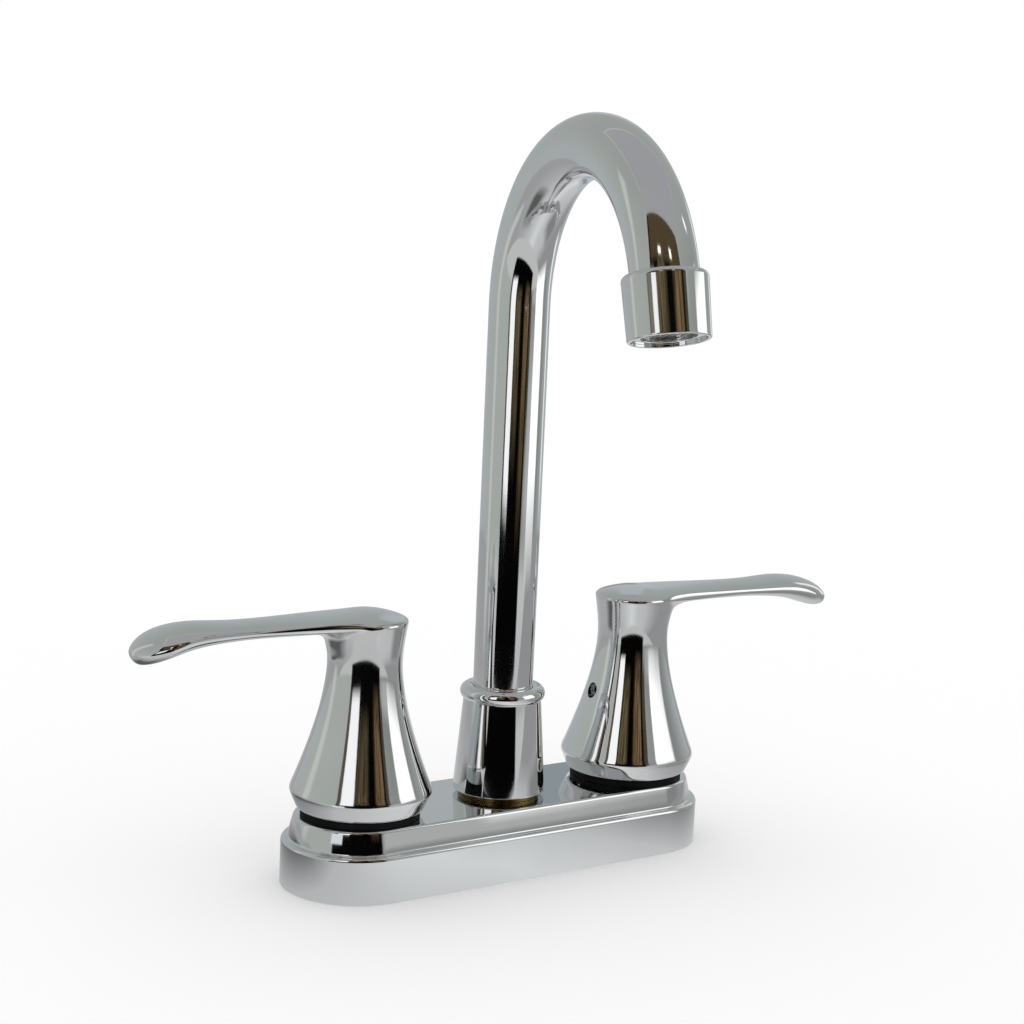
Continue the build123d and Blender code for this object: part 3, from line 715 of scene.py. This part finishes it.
def startMaterial(name, metallic):
    material = bpy.data.materials.new(name)
    material.use_nodes = True
    tree = material.node_tree
    shader = tree.nodes["Principled BSDF"]
    shader.inputs["Metallic"].default_value = metallic
    place = tree.nodes.new("ShaderNodeTexCoord").outputs["Object"]
    return material, tree, shader, place


def stretched(tree, vector, scale):
    node = tree.nodes.new("ShaderNodeMapping")
    tree.links.new(vector, node.inputs["Vector"])
    node.inputs["Scale"].default_value = scale
    return node.outputs["Vector"]


def addBump(tree, shader, height, distance):
    node = tree.nodes.new("ShaderNodeBump")
    node.inputs["Distance"].default_value = distance
    node.inputs["Strength"].default_value = 1.0
    tree.links.new(height, node.inputs["Height"])
    tree.links.new(node.outputs["Normal"], shader.inputs["Normal"])


def hazedMaterial(look):
    # the haze sets the gloss between smooth and dull, and its patches stain the first colour with the second
    material, tree, shader, place = startMaterial(look["name"], look["metallic"])
    haze = placeGroup(tree, surfaceHaze, place, Patch_Scale=look["patches"], Speck_Scale=look["specks"],
                      Speck_Amount=look["speckAmount"], Low=look["smooth"], High=look["dull"])
    tree.links.new(haze.outputs["Value"], shader.inputs["Roughness"])
    low, high, most = look["stain"]
    stain = spreadNode(tree, haze.outputs["Patch"], low, high, newHigh=most)
    tree.links.new(mixColour(tree, stain, *look["colours"]), shader.inputs["Base Color"])
    for title, value in look.get("also", {}).items():
        shader.inputs[title].default_value = value
    return material, tree, shader, place


def makeGrained(look):
    material, tree, shader, place = hazedMaterial(look)
    if "stretch" in look:
        place = stretched(tree, place, look["stretch"])
    grain = placeGroup(tree, fineGrain, place, Grain_Scale=look["grain"], Wave_Scale=look["waves"],
                       Wave_Share=look["waveShare"])
    addBump(tree, shader, grain.outputs["Height"], look["bump"])
    return material


def makeBrass(look):
    material, tree, shader, place = hazedMaterial(look)
    marks = placeGroup(tree, toolMarks, place, Rings_per_Metre=look["rings"], Drift=look["drift"])
    addBump(tree, shader, marks.outputs["Height"], look["bump"])
    return material


def makeCopper(look):
    # drawn tube: scratches run along X, between cloudy stains
    material, tree, shader, place = hazedMaterial(look)
    drag = noiseNode(tree, stretched(tree, place, look["stretch"]), 1.0, rough=0.6)
    addBump(tree, shader, drag, look["bump"])
    return material


chromeLook = {
    "name": "polishedChrome", "metallic": 1.0, "colours": ((0.79, 0.795, 0.80, 1), (0.745, 0.75, 0.755, 1)),
    "stain": (0.4, 0.75, 1.0), "smooth": 0.025, "dull": 0.085, "patches": 34.0, "specks": 1500.0,
    "speckAmount": 0.35, "grain": 320.0, "waves": 38.0, "waveShare": 0.93, "bump": 0.00006,
}
brassLook = {
    "name": "turnedBrass", "metallic": 1.0, "colours": ((0.80, 0.62, 0.30, 1), (0.52, 0.36, 0.15, 1)),
    "stain": (0.42, 0.7, 0.8), "smooth": 0.20, "dull": 0.42, "patches": 70.0, "specks": 1100.0,
    "speckAmount": 0.4, "rings": 2400.0, "drift": 0.5, "bump": 0.00003,
}
# brass for the ring nut, its colours darkened as painted shade under the collar's foot
shadedBrassLook = {
    **brassLook, "name": "darkenedBrass", "colours": ((0.20, 0.135, 0.045, 1), (0.02, 0.015, 0.008, 1)),
    "smooth": 0.14, "dull": 0.34,
}
copperLook = {
    "name": "drawnCopper", "metallic": 1.0, "colours": ((0.86, 0.50, 0.34, 1), (0.42, 0.20, 0.11, 1)),
    "stain": (0.40, 0.66, 1.0), "smooth": 0.22, "dull": 0.5, "patches": 85.0, "specks": 800.0,
    "speckAmount": 0.5, "stretch": (30, 2600, 2600), "bump": 0.00004,
}
steelLook = {
    "name": "plainSteel", "metallic": 1.0, "colours": ((0.63, 0.64, 0.65, 1), (0.43, 0.43, 0.44, 1)),
    "stain": (0.4, 0.7, 1.0), "smooth": 0.22, "dull": 0.40, "patches": 120.0, "specks": 1500.0,
    "speckAmount": 0.6, "stretch": (1, 9, 1), "grain": 900.0, "waves": 60.0, "waveShare": 0.2, "bump": 0.00003,
}
# black rubber, its colour pushed darker still as painted shade for the seat rings under the bells
blackRubberAndShadeLook = {
    "name": "mouldedRubber", "metallic": 0.0, "colours": ((0.003, 0.003, 0.0035, 1), (0.010, 0.010, 0.011, 1)),
    "stain": (0.45, 0.8, 1.0), "smooth": 0.45, "dull": 0.7, "patches": 150.0, "specks": 2200.0,
    "speckAmount": 0.5, "grain": 2600.0, "waves": 240.0, "waveShare": 0.3, "bump": 0.00006,
    "also": {"Specular IOR Level": 0.12},
}
plasticLook = {
    "name": "mouldedPlastic", "metallic": 0.0, "colours": ((0.84, 0.84, 0.82, 1), (0.76, 0.75, 0.70, 1)),
    "stain": (0.45, 0.75, 1.0), "smooth": 0.30, "dull": 0.48, "patches": 130.0, "specks": 1800.0,
    "speckAmount": 0.3, "grain": 2200.0, "waves": 300.0, "waveShare": 0.5, "bump": 0.00003,
    "also": {"Subsurface Weight": 0.05, "Subsurface Radius": (0.002, 0.002, 0.0018)},
}
# lapped alumina: flat, slightly shiny, with a faint fired speckle
ceramicLook = {
    "name": "lappedCeramic", "metallic": 0.0, "colours": ((0.86, 0.86, 0.83, 1), (0.74, 0.74, 0.70, 1)),
    "stain": (0.5, 0.8, 1.0), "smooth": 0.08, "dull": 0.22, "patches": 260.0, "specks": 3200.0,
    "speckAmount": 0.8, "grain": 4200.0, "waves": 60.0, "waveShare": 0.1, "bump": 0.000015,
}
finish = {
    "chrome": makeGrained(chromeLook), "brass": makeBrass(brassLook), "copper": makeCopper(copperLook),
    "steel": makeGrained(steelLook), "black_rubber": makeGrained(blackRubberAndShadeLook),
    "white_plastic": makeGrained(plasticLook), "disc_ceramic": makeGrained(ceramicLook),
}
slotOf = {part["node"]: part["material_slot"] for part in frame["record"]["subparts"]}
for name, node in nodes.items():
    node.data.materials.clear()
    node.data.materials.append(finish[slotOf[name]])
# the ring nut's brass is darkened as painted shade
darkenedBrass = makeBrass(shadedBrassLook)
for piece, slot in dressed:
    piece.data.materials.clear()
    piece.data.materials.append(darkenedBrass if piece.name == "spoutRingNutBrass" else finish[slot])
print("materials done")

# floor, light and camera

view = {"place": (-360.6556, -529.486, 214.2762), "azimuth": -34.3033, "pitch": 9.0547, "roll": 2.5317,
        "lens": 72.85, "sensor": 36.0, "nearest": 0.01}


def makeCamera(size):
    azimuth, pitch, roll = (math.radians(size[key]) for key in ("azimuth", "pitch", "roll"))
    back = Vector((math.sin(azimuth) * math.cos(pitch), -math.cos(azimuth) * math.cos(pitch), math.sin(pitch)))
    right = Vector((math.cos(azimuth), math.sin(azimuth), 0))
    up = back.cross(right)
    rolledRight = math.cos(roll) * right + math.sin(roll) * up
    rolledUp = math.cos(roll) * up - math.sin(roll) * right
    data = bpy.data.cameras.new("photographView")
    data.lens = size["lens"]
    data.sensor_width = size["sensor"]
    data.clip_start = size["nearest"]
    camera = bpy.data.objects.new("photographView", data)
    bpy.context.scene.collection.objects.link(camera)
    turn = Matrix((rolledRight, rolledUp, back)).transposed().to_4x4()
    camera.matrix_world = Matrix.Translation(Vector(size["place"]) * mm) @ turn
    bpy.context.scene.camera = camera


makeCamera(view)


def onlyReflected(card):
    # the tent is what polished metal shows, and lights nothing else
    card.visible_camera = card.visible_diffuse = card.visible_transmission = False
    card.visible_volume_scatter = card.visible_shadow = False


# a grey cloth tent round the tap, its table, and what its opening lets in, as glowing sheets: their tones are painted
# light and shade that only the metal reflects
tent = {
    "radius": 640.0, "bottom": -70.0, "front": (0.455, 0.485, 0.455, 1), "right": (0.27, 0.285, 0.272, 1),
    "rear": (0.455, 0.49, 0.50, 1), "top": (0.385, 0.412, 0.395, 1), "low": (0.60, 0.61, 0.60, 1),
    # where each tone takes over from the front one, as shares of the radius
    "rightFrom": (0.1, 0.8), "rearFrom": (-0.2, -0.75), "topFrom": (0.3, 0.85), "lowFrom": (0.0, -0.046875),
}
table = {
    "left": -590.0, "right": 590.0, "back": -590.0, "front": 150.0, "height": -0.5, "shadeHeight": -0.25,
    "tint": (0.985, 1.005, 1.01), "shadeSoft": (0.3, 0.3, 0.3, 0.3),
    "tones": ((-300, 0.40), (-140, 0.48), (-50, 0.60), (20, 0.80), (66, 0.64), (130, 0.60), (230, 0.34)),
    "shades": (("leftShade", -215.0, -62.0, -60.0, 120.0, 0.12), ("rightShade", 62.0, 215.0, -110.0, 60.0, 0.27)),
}
# cards: azimuth from the camera's side, distance, left, right, low, high, soft edges as shares, colour
cards = {
    "darkRoom": (0, 262, -202, 240, -24, 482, (0.01, 0.06, 0.02, 0.03), (0.0015, 0.0013, 0.0013, 1)),
    "darkEdge": (0, 261, 200, 264, 70, 480, (0.3, 0.05, 0.1, 0.03), (0.070, 0.064, 0.042, 1)),
    "frameLow": (0, 261, -201, -158, 60, 236, (0.03, 0.3, 0.1, 0.05), (0.105, 0.080, 0.062, 1)),
    "frameHigh": (0, 261, -190, -112, 224, 296, (0.05, 0.1, 0.1, 0.2), (0.20, 0.19, 0.16, 1)),
    "upperBrown": (0, 261, -176, 250, 296, 478, (0.05, 0.05, 0.1, 0.03), (0.085, 0.060, 0.028, 1)),
    "brownLeft": (0, 260.6, -62, 40, 84, 320, (0.08, 0.30, 0.26, 0.15), (0.215, 0.165, 0.090, 1)),
    "brownRight": (0, 260.6, 78, 188, 50, 320, (0.25, 0.12, 0.30, 0.15), (0.30, 0.195, 0.100, 1)),
    "whitePanel": (0, 260, -165, -67, 62, 226, (0.03, 0.05, 0.12, 0.03), (1.15, 1.15, 1.16, 1)),
    "whiteCorner": (0, 260, -116, -57, 218, 264, (0.06, 0.06, 0.05, 0.2), (1.15, 1.15, 1.16, 1)),
    "lampLeft": (0, 259, -44, -4, 312, 336, (0.2, 0.2, 0.2, 0.2), (1.7, 1.65, 1.5, 1)),
    "lampRight": (0, 259, 82, 112, 316, 352, (0.2, 0.2, 0.2, 0.2), (1.7, 1.65, 1.5, 1)),
    "rightLow": (60, 500, -170, 190, 10, 150, (0.3, 0.3, 0.2, 0.35), (0.48, 0.49, 0.48, 1)),
    "stepLight": (0, 75, -71, -54, 20.5, 30, (0.1, 0.05, 0.1, 0.1), (0.80, 0.84, 0.88, 1)),
    "softBox": (79, 255, -85, 85, 38, 262, (0.05, 0.10, 0.24, 0.10), (1.35, 1.35, 1.35, 1)),
    "sideLamp": (86, 255, -16, 16, 318, 372, (0.35, 0.35, 0.3, 0.3), (1.5, 1.5, 1.5, 1)),
    "paleCloth": (-86, 300, -42, 42, -10, 420, (0.3, 0.3, 0.1, 0.1), (0.60, 0.63, 0.615, 1)),
    "backStreak": (133, 300, -30, 30, 60, 300, (0.2, 0.2, 0.1, 0.1), (1.0, 1.0, 1.0, 1)),
    "rearPanel": (172, 330, -60, 60, 20, 420, (0.2, 0.2, 0.1, 0.1), (0.50, 0.53, 0.55, 1)),
    "rearDark": (180, 318, -66, -4, 84, 146, (0.15, 0.15, 0.15, 0.15), (0.29, 0.335, 0.36, 1)),
}
streaked = {"stretch": (8, 6, 1), "detail": 6.0, "rough": 0.7, "from": 0.40, "to": 0.62, "darkest": 0.10}
roof = {
    "height": 560.0, "left": -225.0, "right": 300.0, "back": -160.0, "front": 262.0, "low": 300.0,
    "overhang": 8.0, "apronGap": 1.0, "seam": 12.0, "seamLift": 2.0, "soft": (0.02, 0.02, 0.02, 0.02),
    "apronSoft": (0.02, 0.02, 0.01, 0.01), "colour": (0.40, 0.40, 0.415, 1), "seamColour": (0.56, 0.56, 0.50, 1),
}


def glowMaterial(name):
    material = bpy.data.materials.new(name)
    material.use_nodes = True
    tree = material.node_tree
    tree.nodes.remove(tree.nodes["Principled BSDF"])
    glow = tree.nodes.new("ShaderNodeEmission")
    return material, tree, glow, tree.nodes["Material Output"]


def tentAxes(turn=0.0):
    # towards the camera's side and to its right, turned by so many degrees
    angle = math.radians(view["azimuth"] + turn)
    return Vector((math.sin(angle), -math.cos(angle), 0)), Vector((math.cos(angle), math.sin(angle), 0))


def reachAlong(tree, place, direction):
    node = tree.nodes.new("ShaderNodeVectorMath")
    node.operation = "DOT_PRODUCT"
    feed(tree, node.inputs, (place, direction))
    return node.outputs["Value"]


def makeTent(size):
    clearSelection()
    bpy.ops.mesh.primitive_uv_sphere_add(segments=48, ring_count=24, radius=size["radius"] * mm, enter_editmode=True)
    bpy.ops.mesh.bisect(plane_co=(0, 0, size["bottom"] * mm), plane_no=(0, 0, 1), clear_inner=True, use_fill=True)
    bpy.ops.object.mode_set(mode="OBJECT")
    shell = bpy.context.object
    shell.name = "greyTent"
    material, tree, glow, output = glowMaterial("tentCloth")
    place = tree.nodes.new("ShaderNodeTexCoord").outputs["Object"]
    towards, sideways = tentAxes()
    wall = size["front"]
    for part, direction in (("right", sideways), ("rear", towards), ("top", (0, 0, 1)), ("low", (0, 0, 1))):
        near, far = (share * size["radius"] * mm for share in size[part + "From"])
        change = spreadNode(tree, reachAlong(tree, place, direction), near, far)
        wall = mixColour(tree, change, wall, size[part])
    tree.links.new(wall, glow.inputs["Color"])
    tree.links.new(glow.outputs[0], output.inputs["Surface"])
    shell.data.materials.append(material)
    onlyReflected(shell)


def flatSheet(name, turn, place, wide, tall, up):
    # a plane of this width and height, facing the tap
    clearSelection()
    bpy.ops.mesh.primitive_plane_add(size=1.0)
    sheet = bpy.context.object
    sheet.name = name
    sideways = tentAxes(turn)[1]
    axes = Matrix((sideways * wide, up * tall, sideways.cross(up))).transposed().to_4x4()
    sheet.matrix_world = Matrix.Scale(mm, 4) @ Matrix.Translation(place) @ axes
    return sheet


def makeTable(size):
    towards, sideways = tentAxes()
    middle = sideways * (size["left"] + size["right"]) / 2 + towards * (size["back"] + size["front"]) / 2
    sheet = flatSheet("tentTable", 0, middle + Vector((0, 0, size["height"])), size["right"] - size["left"],
                      size["front"] - size["back"], -towards)
    material, tree, glow, output = glowMaterial("tableCloth")
    parts = tree.nodes.new("ShaderNodeSeparateXYZ")
    tree.links.new(tree.nodes.new("ShaderNodeTexCoord").outputs["UV"], parts.inputs[0])
    ramp = tree.nodes.new("ShaderNodeValToRGB")
    while len(ramp.color_ramp.elements) < len(size["tones"]):
        ramp.color_ramp.elements.new(0.5)
    for element, (spot, tone) in zip(ramp.color_ramp.elements, size["tones"]):
        element.position = (spot - size["left"]) / (size["right"] - size["left"])
        element.color = (*(tone * share for share in size["tint"]), 1)
    tree.links.new(parts.outputs["X"], ramp.inputs[0])
    tree.links.new(ramp.outputs[0], glow.inputs["Color"])
    tree.links.new(glow.outputs[0], output.inputs["Surface"])
    sheet.data.materials.append(material)
    onlyReflected(sheet)
    for name, left, right, back, front, tone in size["shades"]:
        middle = sideways * (left + right) / 2 + towards * (back + front) / 2
        shade = flatSheet(name, 0, middle + Vector((0, 0, size["shadeHeight"])), right - left, front - back,
                          -towards)
        glowSheet(shade, size["shadeSoft"], (tone, tone, tone, 1))


def makeCard(name, azimuth, distance, left, right, low, high, soft, colour):
    towards, sideways = tentAxes(azimuth)
    centre = towards * distance + sideways * ((left + right) / 2) + Vector((0, 0, (low + high) / 2))
    card = flatSheet(name, azimuth, centre, right - left, high - low, Vector((0, 0, 1)))
    glowSheet(card, soft, colour, streaks="brown" in name)


def glowSheet(card, soft, colour, streaks=False):
    # the card's four edges fade out over the shares in soft
    material, tree, glow, output = glowMaterial(card.name + "Glow")
    coordinates = tree.nodes.new("ShaderNodeTexCoord").outputs["UV"]
    glow.inputs["Color"].default_value = colour
    if streaks:
        shade = noiseNode(tree, stretched(tree, coordinates, streaked["stretch"]), 1.0,
                          streaked["detail"], streaked["rough"])
        dark = (*(streaked["darkest"] * part for part in colour[:3]), 1)
        shaded = mixColour(tree, spreadNode(tree, shade, streaked["from"], streaked["to"]), dark, colour)
        tree.links.new(shaded, glow.inputs["Color"])
    parts = tree.nodes.new("ShaderNodeSeparateXYZ")
    tree.links.new(coordinates, parts.inputs[0])
    mask = None
    for socket, near, far in ((parts.outputs["X"], soft[0], soft[1]), (parts.outputs["Y"], soft[2], soft[3])):
        for fade in (spreadNode(tree, socket, 0.0, near), spreadNode(tree, socket, 1.0, 1 - far)):
            mask = fade if mask is None else mathNode(tree, "MULTIPLY", mask, fade)
    blend = tree.nodes.new("ShaderNodeMixShader")
    clear = tree.nodes.new("ShaderNodeBsdfTransparent")
    feed(tree, blend.inputs, (mask, clear.outputs[0], glow.outputs[0]))
    tree.links.new(blend.outputs[0], output.inputs["Surface"])
    card.data.materials.append(material)
    onlyReflected(card)


def makeRoof(size):
    # a panel overhead with an apron down its front, and a wider pair behind them that shows as a seam
    towards, sideways = tentAxes()
    front = size["front"] + size["overhang"]
    middle = sideways * (size["left"] + size["right"]) / 2 + towards * (size["back"] + front) / 2
    for name, border, lift, colour in (("roofPanel", 0, 0, "colour"),
                                       ("roofSeam", size["seam"], size["seamLift"], "seamColour")):
        height = size["height"] + lift
        sheet = flatSheet(name, 0, middle + Vector((0, 0, height)), size["right"] - size["left"] + 2 * border,
                          front - size["back"] + 2 * border, towards)
        glowSheet(sheet, size["soft"], size[colour])
        makeCard(name + "Front", 0, size["front"] + size["apronGap"] + lift, size["left"] - border,
                 size["right"] + border, size["low"], height, size["apronSoft"], size[colour])


makeTent(tent)
makeTable(table)
makeRoof(roof)
for name, values in cards.items():
    makeCard(name, *values)
print("tent done")

floorLook = {"size": 6.0, "cuts": 8, "colour": (1.0, 1.0, 1.0, 1), "roughness": 0.8}


def makeFloor(look):
    clearSelection()
    bpy.ops.mesh.primitive_plane_add(size=look["size"], location=(0, 0, 0), enter_editmode=True)
    bpy.ops.mesh.subdivide(number_cuts=look["cuts"])
    bpy.ops.object.mode_set(mode="OBJECT")
    floor = bpy.context.object
    floor.name = "paleFloor"
    floor.visible_glossy = False
    material, tree, shader, _ = startMaterial("palePaper", 0.0)
    shader.inputs["Base Color"].default_value = look["colour"]
    shader.inputs["Roughness"].default_value = look["roughness"]
    shader.inputs["Specular IOR Level"].default_value = 0.0
    # seen from below, the floor lets the shanks and nuts show
    below = tree.nodes.new("ShaderNodeNewGeometry").outputs["Backfacing"]
    blend = tree.nodes.new("ShaderNodeMixShader")
    clear = tree.nodes.new("ShaderNodeBsdfTransparent")
    feed(tree, blend.inputs, (below, shader.outputs[0], clear.outputs[0]))
    tree.links.new(blend.outputs[0], tree.nodes["Material Output"].inputs["Surface"])
    floor.data.materials.append(material)


makeFloor(floorLook)

world = bpy.data.worlds.new("room")
bpy.context.scene.world = world
world.use_nodes = True
world.node_tree.nodes["Background"].inputs["Color"].default_value = (1, 1, 1, 1)
world.node_tree.nodes["Background"].inputs["Strength"].default_value = 1.0
bpy.context.scene.view_settings.view_transform = "Standard"
print("stage done")
